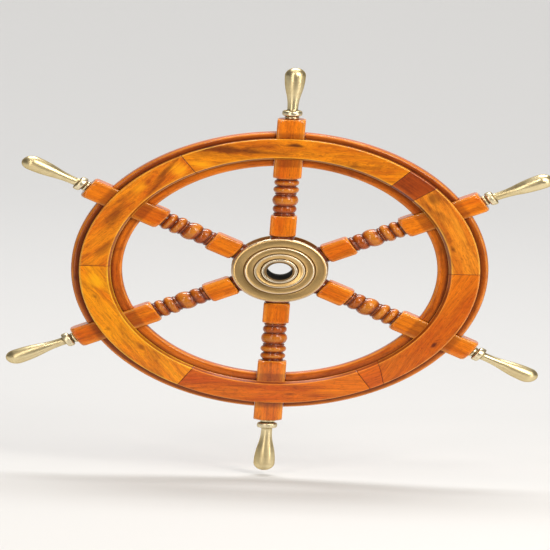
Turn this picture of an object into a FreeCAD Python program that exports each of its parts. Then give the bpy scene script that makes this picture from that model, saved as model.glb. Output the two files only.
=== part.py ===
import FreeCAD, Part
import math
import os
import re
import Sketcher

# Ship steering wheel, sizes in millimetres.
# Every body is drawn in the wheel's own frame: x and y lie in the plane of the wheel,
# z is the axle line and +z is the side that faces the helmsman.
# A Placement then stands the wheel upright in XZ with the axle along Y and the face at -Y.

V = FreeCAD.Vector
doc = FreeCAD.newDocument("ship_wheel")
sheet = doc.addObject("Spreadsheet::Sheet", "sizes")

SIZES = [
    ("bore_radius", 12.7),
    ("sleeve_radius", 15.2),
    ("sleeve_front_z", 23.4),
    ("sleeve_rear_z", -28.5),
    ("sleeve_edge", 0.6),
    ("flange_radius", 24.0),
    ("flange_front_z", -18.5),
    ("flange_edge", 1.0),
    ("collar_radius", 18.2),
    ("collar_rear_z", 14.5),
    ("collar_front_z", 22.8),
    ("collar_edge", 1.0),
    ("washer_play", 0.3),
    ("rear_washer_radius", 23.0),
    ("set_screw_radius", 3.0),
    ("set_screw_z", -23.5),
    ("set_screw_gap", 0.2),
    ("set_screw_socket", 1.5),
    ("bush_bore_radius", 15.25),
    ("bush_radius", 19.0),
    ("nave_apothem", 36.0),
    ("nave_half_depth", 13.0),
    ("mortise_floor", 22.0),
    ("tenon_width", 14.0),
    ("tenon_depth", 16.0),
    ("tenon_pin_radius", 2.5),
    ("tenon_pin_at", 29.0),
    ("hub_screw_at", 33.0),
    ("hub_screw_radius", 2.5),
    ("hub_screw_head", 4.75),
    ("hub_screw_cone", 2.6),
    ("hub_screw_tip_z", 17.2),
    ("plate_radius", 48.4),
    ("plate_hole", 18.6),
    ("rear_plate_z", -17.0),
    ("front_band_z", 16.4),
    ("front_step_z", 19.6),
    ("front_boss_z", 22.0),
    ("front_dish_z", 20.6),
    ("lip_radius", 1.6),
    ("step_at", 35.4),
    ("boss_at", 25.6),
    ("step_round", 1.2),
    ("waist_end", 50.6),
    ("waist_radius", 12.4),
    ("waist_run", 5.0),
    ("inner_block_end", 81.5),
    ("inner_block_width", 26.4),
    ("inner_block_depth", 25.6),
    ("inner_block_edge", 1.8),
    ("inner_shoulder", 12.4),
    ("inner_shoulder_run", 5.5),
    ("outer_block_start", 138.0),
    ("outer_block_end", 228.0),
    ("outer_block_width", 28.5),
    ("outer_block_edge", 2.2),
    ("outer_shoulder", 13.8),
    ("outer_shoulder_run", 6.0),
    ("neck_radius", 10.6),
    ("ring_peak", 11.1),
    ("bead_valley", 10.2),
    ("bead_one_peak", 12.0),
    ("ball_valley", 10.3),
    ("ball_peak", 13.1),
    ("cove_peak", 11.0),
    ("bead_two_peak", 12.9),
    ("bead_three_peak", 12.6),
    ("dowel_radius", 4.0),
    ("dowel_half", 27.0),
    ("dowel_inner_at", 172.0),
    ("dowel_outer_at", 195.0),
    ("rim_inner", 157.0),
    ("rim_outer", 208.0),
    ("rim_half_depth", 9.0),
    ("rim_round", 4.0),
    ("face_inner", 168.5),
    ("face_outer", 200.0),
    ("face_depth", 10.5),
    ("face_bevel", 3.2),
    ("face_bevel_depth", 5.0),
    ("face_round", 1.6),
    ("joint_left", 180.7),
    ("joint_upper_left", 122.4),
    ("joint_filler_high", 52.2),
    ("joint_filler_low", 41.7),
    ("joint_right", 1.4),
    ("joint_scarf_inner", -51.5),
    ("joint_scarf_outer", -55.8),
    ("joint_lower_right", -60.1),
    ("joint_lower_left", -117.5),
    ("rim_screw_at", 184.75),
    ("rim_screw_radius", 2.25),
    ("rim_screw_head", 4.5),
    ("rim_screw_cone", 2.4),
    ("rim_screw_tip_z", 16.5),
    ("slot_width", 1.1),
    ("slot_depth", 1.0),
    ("stud_radius", 3.0),
    ("stud_start", 210.0),
    ("stud_end", 254.0),
    ("ferrule_radius", 7.3),
    ("ferrule_length", 4.0),
    ("handle_groove", 6.2),
    ("handle_bead_start", 0.8),
    ("handle_bead_radius", 10.0),
    ("handle_bead_length", 7.6),
    ("handle_bead_round", 2.2),
    ("handle_neck", 5.4),
    ("handle_flare_at", 244.0),
    ("handle_turn_at", 266.0),
    ("handle_turn_radius", 7.6),
    ("handle_bulb", 10.5),
    ("handle_bulb_at", 293.5),
    ("handle_nose_at", 301.45),
    ("handle_nose_radius", 7.6),
    ("handle_tip", 305.0),
]

for row, (alias, number) in enumerate(SIZES, start=1):
    sheet.set(f"A{row}", alias)
    sheet.set(f"B{row}", str(number))
    sheet.setAlias(f"B{row}", alias)
doc.recompute()

ALIASES = {alias for alias, number in SIZES}
STAND_UP = FreeCAD.Rotation(V(1, 0, 0), 90)
parts = []


def name_sizes(text):
    """Put the sheet's name before each of its aliases in an expression."""
    return re.sub(r"[a-z][a-z_]+", full_name, str(text))


def full_name(word):
    return "sizes." + word.group() if word.group() in ALIASES else word.group()


def value(text):
    """Number that an expression has now."""
    return float(sheet.evalExpression(name_sizes(text)))


def origin_feature(body, role):
    return next(item for item in body.Origin.OriginFeatures if item.Role == role)


def new_body(label, turn=0.0, flipped=False):
    body = doc.addObject("PartDesign::Body", label)
    body.Label = label
    rotation = STAND_UP.multiply(FreeCAD.Rotation(V(0, 0, 1), turn))
    if flipped:
        rotation = rotation.multiply(FreeCAD.Rotation(V(1, 0, 0), 180))
    body.Placement = FreeCAD.Placement(V(0, 0, 0), rotation)
    parts.append(body)
    return body


def arc_middle(start, end, radius, side):
    """Point half way along the short arc between two points; side +1 bulges to the left."""
    chord = V(end[0] - start[0], end[1] - start[1], 0)
    half = chord.Length / 2
    rise = radius - math.sqrt(max(radius * radius - half * half, 0.0))
    normal = V(-chord.y, chord.x, 0).normalize()
    middle = V((start[0] + end[0]) / 2, (start[1] + end[1]) / 2, 0)
    return middle + normal * (rise * side)


def outline(body, name, role, corners, offset=0.0):
    """Closed sketch. Each corner is (x, y) or (x, y, radius, side) when an arc leads to the next one."""
    sketch = body.newObject("Sketcher::SketchObject", name)
    sketch.AttachmentSupport = (origin_feature(body, role), [""])
    sketch.MapMode = "FlatFace"
    sketch.AttachmentOffset = FreeCAD.Placement(V(0, 0, 0), FreeCAD.Rotation())
    if offset:
        sketch.setExpression("AttachmentOffset.Base.z", name_sizes(offset))
    points = [(value(corner[0]), value(corner[1])) for corner in corners]
    count = len(corners)
    for index, corner in enumerate(corners):
        start = points[index]
        end = points[(index + 1) % count]
        first = V(start[0], start[1], 0)
        last = V(end[0], end[1], 0)
        if len(corner) > 2:
            middle = arc_middle(start, end, value(corner[2]), corner[3])
            sketch.addGeometry(Part.Arc(first, middle, last), False)
        else:
            sketch.addGeometry(Part.LineSegment(first, last), False)
    ends = [end_vertices(sketch, index, points[index]) for index in range(count)]
    for index in range(count):
        following = (index + 1) % count
        pair = (index, ends[index][1], following, ends[following][0])
        sketch.addConstraint(Sketcher.Constraint("Coincident", *pair))
    for index, corner in enumerate(corners):
        tie(sketch, "DistanceX", index, ends[index][0], corner[0], points[index][0])
        tie(sketch, "DistanceY", index, ends[index][0], corner[1], points[index][1])
        if len(corner) > 2:
            number = sketch.addConstraint(Sketcher.Constraint("Radius", index, value(corner[2])))
            sketch.setExpression(f"Constraints[{number}]", name_sizes(corner[2]))
    return sketch


def end_vertices(sketch, index, start):
    """Which vertex of an edge is its start along the outline, and which its end."""
    first = sketch.getPoint(index, 1)
    gap = math.hypot(first.x - start[0], first.y - start[1])
    if gap < 1e-6:
        return 1, 2
    return 2, 1


def tie(sketch, kind, index, vertex, text, number):
    if abs(number) < 1e-9:
        other = -2 if kind == "DistanceX" else -1
        sketch.addConstraint(Sketcher.Constraint("PointOnObject", index, vertex, other))
        return
    row = sketch.addConstraint(Sketcher.Constraint(kind, -1, 1, index, vertex, number))
    if isinstance(text, str):
        sketch.setExpression(f"Constraints[{row}]", name_sizes(text))


def spin(body, name, sketch, axis, angle=360.0, cut=False):
    kind = "PartDesign::Groove" if cut else "PartDesign::Revolution"
    feature = body.newObject(kind, name)
    feature.Profile = sketch
    feature.ReferenceAxis = (sketch, [axis])
    if isinstance(angle, str):
        feature.Midplane = True
        feature.setExpression("Angle", name_sizes(angle))
    elif angle < 360:
        feature.Midplane = True
        feature.Angle = angle
    else:
        feature.Angle = 360
    sketch.Visibility = False
    return feature


def extrude(body, name, sketch, length, cut=False, both=False):
    kind = "PartDesign::Pocket" if cut else "PartDesign::Pad"
    feature = body.newObject(kind, name)
    feature.Profile = sketch
    feature.Midplane = both
    feature.setExpression("Length", name_sizes(length))
    sketch.Visibility = False
    return feature


def rod(body, name, radius, height, base, rotation=None, cut=True):
    """Cylinder added or taken away; base holds three numbers or expressions."""
    kind = "PartDesign::SubtractiveCylinder" if cut else "PartDesign::AdditiveCylinder"
    feature = body.newObject(kind, name)
    feature.setExpression("Radius", name_sizes(radius))
    feature.setExpression("Height", name_sizes(height))
    place(feature, base, rotation)
    return feature


def cone(body, name, low, high, height, base, cut=True):
    kind = "PartDesign::SubtractiveCone" if cut else "PartDesign::AdditiveCone"
    feature = body.newObject(kind, name)
    feature.setExpression("Radius1", name_sizes(low))
    feature.setExpression("Radius2", name_sizes(high))
    feature.setExpression("Height", name_sizes(height))
    place(feature, base, None)
    return feature


def block(body, name, length, width, height, base, rotation=None, cut=True):
    kind = "PartDesign::SubtractiveBox" if cut else "PartDesign::AdditiveBox"
    feature = body.newObject(kind, name)
    feature.setExpression("Length", name_sizes(length))
    feature.setExpression("Width", name_sizes(width))
    feature.setExpression("Height", name_sizes(height))
    place(feature, base, rotation)
    return feature


def place(feature, base, rotation):
    turn = rotation if rotation is not None else FreeCAD.Rotation()
    feature.Placement = FreeCAD.Placement(V(0, 0, 0), turn)
    for axis, text in zip("xyz", base):
        feature.setExpression(f"Placement.Base.{axis}", name_sizes(text))


def ring_of(body, name, features, count):
    pattern = body.newObject("PartDesign::PolarPattern", name)
    pattern.Originals = features
    pattern.Axis = (origin_feature(body, "Z_Axis"), [""])
    pattern.Angle = 360
    pattern.Occurrences = count
    body.Tip = pattern
    doc.recompute()
    return pattern


def around(radius, angle):
    """Position expressions at a radius and an angle in degrees."""
    cosine = math.cos(math.radians(angle))
    sine = math.sin(math.radians(angle))
    return f"({radius}) * {cosine:.9f}", f"({radius}) * {sine:.9f}"


# ---------------------------------------------------------------- axle


def make_axle_sleeve():
    body = new_body("axle_sleeve")
    corners = [
        ("bore_radius", "sleeve_rear_z + sleeve_edge"),
        ("bore_radius + sleeve_edge", "sleeve_rear_z"),
        ("flange_radius - flange_edge", "sleeve_rear_z"),
        ("flange_radius", "sleeve_rear_z + flange_edge"),
        ("flange_radius", "flange_front_z"),
        ("sleeve_radius", "flange_front_z"),
        ("sleeve_radius", "sleeve_front_z - sleeve_edge"),
        ("sleeve_radius - sleeve_edge", "sleeve_front_z"),
        ("bore_radius + sleeve_edge", "sleeve_front_z"),
        ("bore_radius", "sleeve_front_z - sleeve_edge"),
    ]
    sketch = outline(body, "sleeve_section", "XZ_Plane", corners)
    spin(body, "sleeve_turned", sketch, "V_Axis")
    for index, angle in enumerate((90.0, 210.0)):
        rotation = FreeCAD.Rotation(V(0, 0, 1), angle).multiply(FreeCAD.Rotation(V(0, 1, 0), 90))
        base = ("0", "0", "set_screw_z")
        reach = "flange_radius + 5"
        rod(body, f"set_screw_hole_{index + 1}", "set_screw_radius", reach, base, rotation)
    doc.recompute()
    return body


def make_axle_collar():
    body = new_body("axle_collar")
    corners = [
        ("sleeve_radius", "collar_rear_z"),
        ("collar_radius", "collar_rear_z"),
        ("collar_radius", "collar_front_z - collar_edge"),
        ("collar_radius - collar_edge", "collar_front_z"),
        ("sleeve_radius", "collar_front_z"),
    ]
    sketch = outline(body, "collar_section", "XZ_Plane", corners)
    spin(body, "collar_turned", sketch, "V_Axis")
    return body


def make_thrust_washer(label, inner, outer, low, high):
    body = new_body(label)
    corners = [(inner, low), (outer, low), (outer, high), (inner, high)]
    sketch = outline(body, label + "_section", "XZ_Plane", corners)
    spin(body, label + "_turned", sketch, "V_Axis")
    return body


def make_set_screws():
    body = new_body("sleeve_set_screws")
    for index, angle in enumerate((90.0, 210.0)):
        rotation = FreeCAD.Rotation(V(0, 0, 1), angle).multiply(FreeCAD.Rotation(V(0, 1, 0), 90))
        start = around("bore_radius + set_screw_gap", angle)
        base = (start[0], start[1], "set_screw_z")
        length = "flange_radius - bore_radius - 1.2"
        rod(body, f"set_screw_{index + 1}", "set_screw_radius", length, base, rotation, cut=False)
        mouth = around("flange_radius - 4.2", angle)
        base = (mouth[0], mouth[1], "set_screw_z")
        rod(body, f"set_screw_socket_{index + 1}", "set_screw_socket", "6", base, rotation)
    doc.recompute()
    return body


# ---------------------------------------------------------------- hub


def make_nave():
    body = new_body("nave", 30.0)
    corners = []
    for number in range(6):
        angle = 30.0 + 60.0 * number
        x_text, y_text = around("nave_apothem / 0.866025404", angle)
        corners.append((x_text, y_text))
    sketch = outline(body, "nave_hexagon", "XY_Plane", corners)
    extrude(body, "nave_block", sketch, "nave_half_depth * 2", both=True)
    rod(body, "bush_seat", "bush_radius", "60", ("0", "0", "-30"))
    base = ("mortise_floor", "-tenon_width / 2", "-tenon_depth / 2")
    mortise = block(body, "mortise", "nave_apothem", "tenon_width", "tenon_depth", base)
    ring_of(body, "mortises", [mortise], 6)
    pin = rod(body, "pin_hole", "tenon_pin_radius", "60", ("tenon_pin_at", "0", "-30"))
    ring_of(body, "pin_holes", [pin], 6)
    x_text, y_text = around("hub_screw_at", 30.0)
    screw = rod(body, "screw_hole", "hub_screw_radius", "60", (x_text, y_text, "-30"))
    ring_of(body, "screw_holes", [screw], 6)
    return body


def make_nave_bush():
    body = new_body("nave_bush")
    corners = [
        ("bush_bore_radius", "-nave_half_depth"),
        ("bush_radius", "-nave_half_depth"),
        ("bush_radius", "nave_half_depth"),
        ("bush_bore_radius", "nave_half_depth"),
    ]
    sketch = outline(body, "bush_section", "XZ_Plane", corners)
    spin(body, "bush_turned", sketch, "V_Axis")
    return body


def make_front_hub_plate():
    body = new_body("front_hub_plate")
    corners = [
        ("plate_hole", "nave_half_depth"),
        ("plate_radius", "nave_half_depth"),
        ("plate_radius", "front_band_z", "lip_radius * 1.001", -1),
        ("plate_radius - lip_radius * 2", "front_band_z"),
        ("step_at", "front_band_z"),
        ("step_at", "front_step_z - step_round", "step_round * 1.001", -1),
        ("step_at - step_round", "front_step_z"),
        ("boss_at", "front_step_z"),
        ("boss_at", "front_boss_z - step_round", "step_round * 1.001", -1),
        ("boss_at - step_round", "front_boss_z"),
        ("plate_hole + 0.8", "front_dish_z"),
        ("plate_hole", "front_dish_z - 0.8"),
    ]
    sketch = outline(body, "front_plate_section", "XZ_Plane", corners)
    spin(body, "front_plate_turned", sketch, "V_Axis")
    depth = "hub_screw_tip_z + 0.3 - nave_half_depth"
    x_text, y_text = around("hub_screw_at", 0.0)
    hole = rod(body, "tapped_hole", "hub_screw_radius", depth, (x_text, y_text, "nave_half_depth"))
    ring_of(body, "tapped_holes", [hole], 6)
    return body


def make_rear_hub_plate():
    body = new_body("rear_hub_plate")
    corners = [
        ("plate_hole", "-nave_half_depth"),
        ("plate_hole", "rear_plate_z"),
        ("plate_radius - lip_radius * 2", "rear_plate_z", "lip_radius * 1.001", -1),
        ("plate_radius", "rear_plate_z"),
        ("plate_radius", "-nave_half_depth"),
    ]
    sketch = outline(body, "rear_plate_section", "XZ_Plane", corners)
    spin(body, "rear_plate_turned", sketch, "V_Axis")
    x_text, y_text = around("hub_screw_at", 0.0)
    hole = rod(body, "screw_hole", "hub_screw_radius", "60", (x_text, y_text, "-30"))
    sink = cone(body, "screw_sink", "hub_screw_head", "hub_screw_radius", "hub_screw_cone",
                (x_text, y_text, "rear_plate_z"))
    ring_of(body, "screw_seats", [hole, sink], 6)
    return body


def make_countersunk_screws(label, at, radius, head, taper, rear, tip, count, first_angle):
    """Slotted countersunk screws driven from the rear, kept as one group."""
    body = new_body(label, first_angle)
    x_text, y_text = around(at, 0.0)
    length = f"({tip}) - ({rear})"
    shank = rod(body, label + "_shank", radius, length, (x_text, y_text, rear), cut=False)
    top = cone(body, label + "_head", head, radius, taper, (x_text, y_text, rear), cut=False)
    base = (f"({at}) - ({head}) - 1", "-slot_width / 2", f"({rear}) - 1")
    slot = block(body, label + "_slot", f"({head}) * 2 + 2", "slot_width", "slot_depth + 1", base)
    ring_of(body, label + "_group", [shank, top, slot], count)
    return body


def make_tenon_pins():
    body = new_body("tenon_pins", 30.0)
    base = ("tenon_pin_at", "0", "-nave_half_depth")
    pin = rod(body, "tenon_pin", "tenon_pin_radius", "nave_half_depth * 2", base, cut=False)
    ring_of(body, "tenon_pin_group", [pin], 6)
    return body


# ---------------------------------------------------------------- spokes


def block_section(body, name, width, depth, edge, start):
    """Bevelled rectangle across a spoke: width lies in the plane of the wheel."""
    side = f"({width}) / 2"
    face = f"({depth}) / 2"
    corners = [
        (side, f"-({face} - {edge})"),
        (side, f"{face} - {edge}"),
        (f"{side} - {edge}", face),
        (f"-({side} - {edge})", face),
        (f"-({side})", f"{face} - {edge}"),
        (f"-({side})", f"-({face} - {edge})"),
        (f"-({side} - {edge})", f"-({face})"),
        (f"{side} - {edge}", f"-({face})"),
    ]
    return outline(body, name, "YZ_Plane", corners, start)


def bead(start, end, valley, peak):
    """Two corners of a bead on the turned part: the arc rises from the valley to the peak."""
    half = f"(({end}) - ({start})) / 2"
    rise = f"(({peak}) - ({valley}))"
    radius = f"(({half}) * ({half}) + {rise} * {rise}) / (2 * {rise})"
    return [(start, valley, radius, 1), (end, valley)]


def make_spoke(number, angle):
    body = new_body(f"spoke_{number}", angle)
    begin = "inner_block_end"
    corners = [("nave_apothem + 2", "0"), ("nave_apothem + 2", "neck_radius")]
    corners += [(f"{begin} + 0.6", "neck_radius")]
    corners += bead(f"{begin} + 0.7", f"{begin} + 3.4", "neck_radius - 0.1", "ring_peak")
    corners += [(f"{begin} + 4.2", "bead_valley")]
    corners += bead(f"{begin} + 4.8", f"{begin} + 14.6", "bead_valley + 0.1", "bead_one_peak")
    corners += [(f"{begin} + 15.0", "bead_valley")]
    corners += bead(f"{begin} + 15.4", f"{begin} + 30.6", "ball_valley", "ball_peak")
    corners += [(f"{begin} + 31.2", "bead_valley")]
    corners += bead(f"{begin} + 31.8", f"{begin} + 34.0", "bead_valley + 0.2", "cove_peak")
    corners += bead(f"{begin} + 34.4", f"{begin} + 43.6", "neck_radius", "bead_two_peak")
    corners += [(f"{begin} + 44.0", "bead_valley - 0.2"), (f"{begin} + 44.8", "bead_valley - 0.2")]
    corners += bead(f"{begin} + 45.2", f"{begin} + 54.2", "bead_valley", "bead_three_peak")
    corners += [(f"{begin} + 54.8", "neck_radius"), ("outer_block_start + 4", "neck_radius")]
    corners += [("outer_block_start + 4", "0")]
    sketch = outline(body, "turned_section", "XY_Plane", corners)
    spin(body, "turned_part", sketch, "H_Axis")
    section = block_section(body, "inner_section", "inner_block_width", "inner_block_depth",
                            "inner_block_edge", "nave_apothem")
    extrude(body, "inner_block", section, "inner_block_end - nave_apothem")
    section = block_section(body, "outer_section", "outer_block_width", "outer_block_width",
                            "outer_block_edge", "outer_block_start")
    extrude(body, "outer_block", section, "outer_block_end - outer_block_start")
    inner_corner = "inner_block_width * 0.69"
    outer_corner = "outer_block_width * 0.71"
    shoulder_cut(body, "waist_cut", "waist_end", "waist_run", "waist_radius", inner_corner, -1,
                 "waist_end - nave_apothem")
    shoulder_cut(body, "inner_shoulder_cut", "inner_block_end", "inner_shoulder_run", "inner_shoulder",
                 inner_corner, 1)
    shoulder_cut(body, "outer_shoulder_cut", "outer_block_start", "outer_shoulder_run", "outer_shoulder",
                 outer_corner, -1)
    shoulder_cut(body, "tip_shoulder_cut", "outer_block_end", "outer_shoulder_run", "outer_shoulder",
                 outer_corner, 1)
    base = ("mortise_floor", "-tenon_width / 2", "-tenon_depth / 2")
    block(body, "tenon", "nave_apothem - mortise_floor + 2", "tenon_width", "tenon_depth", base, cut=False)
    rod(body, "pin_hole", "tenon_pin_radius", "60", ("tenon_pin_at", "0", "-30"))
    sideways = FreeCAD.Rotation(V(1, 0, 0), -90)
    for row, place_at in enumerate(("dowel_inner_at", "dowel_outer_at"), start=1):
        base = (place_at, "-dowel_half", "0")
        rod(body, f"dowel_hole_{row}", "dowel_radius", "dowel_half * 2", base, sideways)
    outward = FreeCAD.Rotation(V(0, 1, 0), 90)
    rod(body, "stud_hole", "stud_radius", "stud_end - stud_start", ("stud_start", "0", "0"), outward)
    doc.recompute()
    return body


def shoulder_cut(body, name, end, run, radius, corner, direction, beyond="0.01"):
    """Groove that rounds a square block toward its end, and keeps on past it."""
    inward, outward = ("-", "+") if direction > 0 else ("+", "-")
    reach = f"{end} {inward} {run}"
    outside = f"{end} {outward} ({beyond})"
    corners = [
        (reach, corner, f"{run} * 2.2", direction),
        (end, radius),
        (outside, radius),
        (outside, "outer_block_width"),
        (reach, "outer_block_width"),
    ]
    sketch = outline(body, name + "_section", "XY_Plane", corners)
    return spin(body, name, sketch, "H_Axis", cut=True)


# ---------------------------------------------------------------- rim


def make_middle_felloe(number, angle):
    body = new_body(f"middle_felloe_{number}", angle)
    low = "-rim_half_depth"
    high = "rim_half_depth"
    edge = "rim_round"
    bend = "rim_round * 1.001"
    corners = [
        ("rim_inner", f"{low} + {edge}", bend, -1),
        (f"rim_inner + {edge}", low),
        (f"rim_outer - {edge}", low, bend, -1),
        ("rim_outer", f"{low} + {edge}"),
        ("rim_outer", f"{high} - {edge}", bend, -1),
        (f"rim_outer - {edge}", high),
        (f"rim_inner + {edge}", high, bend, -1),
        ("rim_inner", f"{high} - {edge}"),
    ]
    sketch = outline(body, "rim_section", "XZ_Plane", corners)
    spin(body, "rim_arc", sketch, "V_Axis", 60.0)
    for row, spoke in enumerate((-30.0, 30.0), start=1):
        turn = FreeCAD.Rotation(V(0, 0, 1), spoke)
        start = turn.multVec(V(140, 0, 0))
        side = turn.multVec(V(0, 1, 0))
        base = (
            f"{start.x:.9f} - outer_block_width / 2 * {side.x:.9f}",
            f"{start.y:.9f} - outer_block_width / 2 * {side.y:.9f}",
            "-20",
        )
        block(body, f"spoke_gap_{row}", "80", "outer_block_width", "40", base, turn)
        lie = turn.multiply(FreeCAD.Rotation(V(1, 0, 0), -90))
        for hole, place_at in enumerate(("dowel_inner_at", "dowel_outer_at"), start=1):
            middle = around(place_at, spoke)
            base = (
                f"{middle[0]} - dowel_half * {side.x:.9f}",
                f"{middle[1]} - dowel_half * {side.y:.9f}",
                "0",
            )
            rod(body, f"dowel_hole_{row}_{hole}", "dowel_radius", "dowel_half * 2", base, lie)
    for row, screw in enumerate((-15.0, 15.0), start=1):
        x_text, y_text = around("rim_screw_at", screw)
        rod(body, f"screw_hole_{row}", "rim_screw_radius", "60", (x_text, y_text, "-30"))
    doc.recompute()
    return body


def face_section():
    """Section of the facing ring: bevelled inner edge, rounded outer edge, as seen on the front."""
    low = "rim_half_depth"
    high = "rim_half_depth + face_depth"
    return [
        ("face_inner", low),
        ("face_outer", low),
        ("face_outer", f"{high} - face_round", "face_round * 1.001", -1),
        ("face_outer - face_round", high),
        ("face_inner + face_bevel", high),
        ("face_inner", f"{high} - face_bevel_depth"),
    ]


def make_facing(label, high_angle, low_angle, spoke_angle, screws, flipped=False, scarf=None):
    """Facing felloe between two joints, notched over its spoke and screwed from the rear."""
    middle = (value(high_angle) + value(low_angle)) / 2
    sign = -1.0 if flipped else 1.0
    body = new_body(label, middle, flipped)
    sketch = outline(body, "facing_section", "XZ_Plane", face_section())
    spin(body, "facing_arc", sketch, "V_Axis", f"({high_angle}) - ({low_angle})")
    if spoke_angle is not None:
        turn = FreeCAD.Rotation(V(0, 0, 1), sign * (spoke_angle - middle))
        start = turn.multVec(V(140, 0, 0))
        side = turn.multVec(V(0, 1, 0))
        base = (
            f"{start.x:.9f} - outer_block_width / 2 * {side.x:.9f}",
            f"{start.y:.9f} - outer_block_width / 2 * {side.y:.9f}",
            "rim_half_depth - 1",
        )
        height = "outer_block_width / 2 - rim_half_depth + 1"
        block(body, "spoke_notch", "80", "outer_block_width", height, base, turn)
    if scarf is not None:
        cut_scarf(body, middle, scarf)
    for row, screw in enumerate(screws, start=1):
        x_text, y_text = around("rim_screw_at", sign * (screw - middle))
        if flipped:
            rod(body, f"screw_hole_{row}", "rim_screw_radius", "60", (x_text, y_text, "-30"))
            low = "rim_half_depth + face_depth - rim_screw_cone"
            cone(body, f"screw_sink_{row}", "rim_screw_radius", "rim_screw_head", "rim_screw_cone",
                 (x_text, y_text, low))
        else:
            depth = "rim_screw_tip_z + 0.3"
            rod(body, f"screw_hole_{row}", "rim_screw_radius", depth, (x_text, y_text, "0"))
    doc.recompute()
    return body


def cut_scarf(body, middle, keep):
    """Slanted joint at the lower right: keep is +1 above the joint line and -1 below it."""
    inner = math.radians(value("joint_scarf_inner") - middle)
    outer = math.radians(value("joint_scarf_outer") - middle)
    first = V(value("face_inner") * math.cos(inner), value("face_inner") * math.sin(inner), 0)
    last = V(value("face_outer") * math.cos(outer), value("face_outer") * math.sin(outer), 0)
    along = (last - first).normalize()
    heading = math.degrees(math.atan2(along.y, along.x))
    start = first - along * 30
    turn = FreeCAD.Rotation(V(0, 0, 1), heading)
    if keep > 0:
        start = start - turn.multVec(V(0, 60, 0))
    base = (f"{start.x:.9f}", f"{start.y:.9f}", "0")
    return block(body, "scarf_cut", "90", "60", "40", base, turn)


def make_felloe_dowels():
    body = new_body("felloe_dowels", 30.0)
    sideways = FreeCAD.Rotation(V(1, 0, 0), -90)
    pair = []
    for row, place_at in enumerate(("dowel_inner_at", "dowel_outer_at"), start=1):
        base = (place_at, "-dowel_half", "0")
        pair.append(rod(body, f"dowel_{row}", "dowel_radius", "dowel_half * 2", base, sideways, cut=False))
    ring_of(body, "dowel_group", pair, 6)
    return body


# ---------------------------------------------------------------- handles


def make_handle_studs():
    body = new_body("handle_studs", 30.0)
    outward = FreeCAD.Rotation(V(0, 1, 0), 90)
    length = "stud_end - stud_start - 2"
    stud = rod(body, "stud", "stud_radius", length, ("stud_start + 1", "0", "0"), outward, cut=False)
    ring_of(body, "stud_group", [stud], 6)
    return body


def make_ferrule(number, angle):
    body = new_body(f"ferrule_{number}", angle)
    start = "outer_block_end"
    corners = [
        (start, "stud_radius"),
        (start, "ferrule_radius - 1.0"),
        (f"{start} + 1.0", "ferrule_radius"),
        (f"{start} + ferrule_length - 1.2", "ferrule_radius"),
        (f"{start} + ferrule_length", "ferrule_radius - 1.2"),
        (f"{start} + ferrule_length", "stud_radius"),
    ]
    sketch = outline(body, "ferrule_section", "XY_Plane", corners)
    spin(body, "ferrule_turned", sketch, "H_Axis")
    return body


def meeting_radius(run, rise):
    """Radius of the arc that leaves level and reaches a point run along and rise away."""
    return f"(({run}) * ({run}) + ({rise}) * ({rise})) / (2 * ({rise}))"


def make_handle(number, angle):
    body = new_body(f"handle_{number}", angle)
    start = "outer_block_end + ferrule_length"
    bead_from = f"{start} + handle_bead_start"
    bead_to = f"{bead_from} + handle_bead_length"
    curve = "handle_bead_round"
    bend = "handle_bead_round * 1.001"
    flare = meeting_radius("handle_turn_at - handle_flare_at", "handle_turn_radius - handle_neck")
    swell = meeting_radius("handle_bulb_at - handle_turn_at", "handle_bulb - handle_turn_radius")
    nose = meeting_radius("handle_nose_at - handle_bulb_at", "handle_bulb - handle_nose_radius")
    tip = meeting_radius("handle_nose_radius", "handle_tip - handle_nose_at")
    corners = [
        (start, "0"),
        (start, "handle_groove"),
        (bead_from, "handle_groove"),
        (bead_from, f"handle_bead_radius - {curve}", bend, 1),
        (f"{bead_from} + {curve}", "handle_bead_radius"),
        (f"{bead_to} - {curve}", "handle_bead_radius", bend, 1),
        (bead_to, f"handle_bead_radius - {curve}"),
        (bead_to, "handle_neck + 0.6"),
        (f"{bead_to} + 1.2", "handle_neck"),
        ("handle_flare_at", "handle_neck", flare, -1),
        ("handle_turn_at", "handle_turn_radius", swell, 1),
        ("handle_bulb_at", "handle_bulb", nose, 1),
        ("handle_nose_at", "handle_nose_radius", tip, 1),
        ("handle_tip", "0"),
    ]
    sketch = outline(body, "handle_section", "XY_Plane", corners)
    spin(body, "handle_turned", sketch, "H_Axis")
    outward = FreeCAD.Rotation(V(0, 1, 0), 90)
    base = ("outer_block_end", "0", "0")
    rod(body, "stud_hole", "stud_radius", "stud_end - outer_block_end", base, outward)
    doc.recompute()
    return body


# ---------------------------------------------------------------- whole wheel

SPOKES = [(1, 90.0), (2, 30.0), (3, -30.0), (4, -90.0), (5, -150.0), (6, 150.0)]

make_axle_sleeve()
make_axle_collar()
make_thrust_washer("front_thrust_washer", "sleeve_radius", "collar_radius",
                   "nave_half_depth + washer_play", "collar_rear_z")
make_thrust_washer("rear_thrust_washer", "sleeve_radius", "rear_washer_radius",
                   "flange_front_z", "rear_plate_z - washer_play")
make_set_screws()
make_nave()
make_nave_bush()
make_front_hub_plate()
make_rear_hub_plate()
make_countersunk_screws("hub_screws", "hub_screw_at", "hub_screw_radius", "hub_screw_head - 0.26",
                        "hub_screw_cone - 0.3", "rear_plate_z + 0.3", "hub_screw_tip_z", 6, 0.0)
make_tenon_pins()
for number, angle in SPOKES:
    make_spoke(number, angle)
for number, (spoke, angle) in enumerate(SPOKES, start=1):
    make_middle_felloe(number, angle - 30.0)
make_facing("front_felloe_1", "joint_upper_left", "joint_filler_high", 90.0, (75.0, 105.0))
make_facing("front_felloe_2", "joint_filler_low", "joint_right", 30.0, (15.0,))
make_facing("front_felloe_3", "joint_right", "joint_scarf_outer", -30.0, (-15.0, -45.0), scarf=1)
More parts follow.
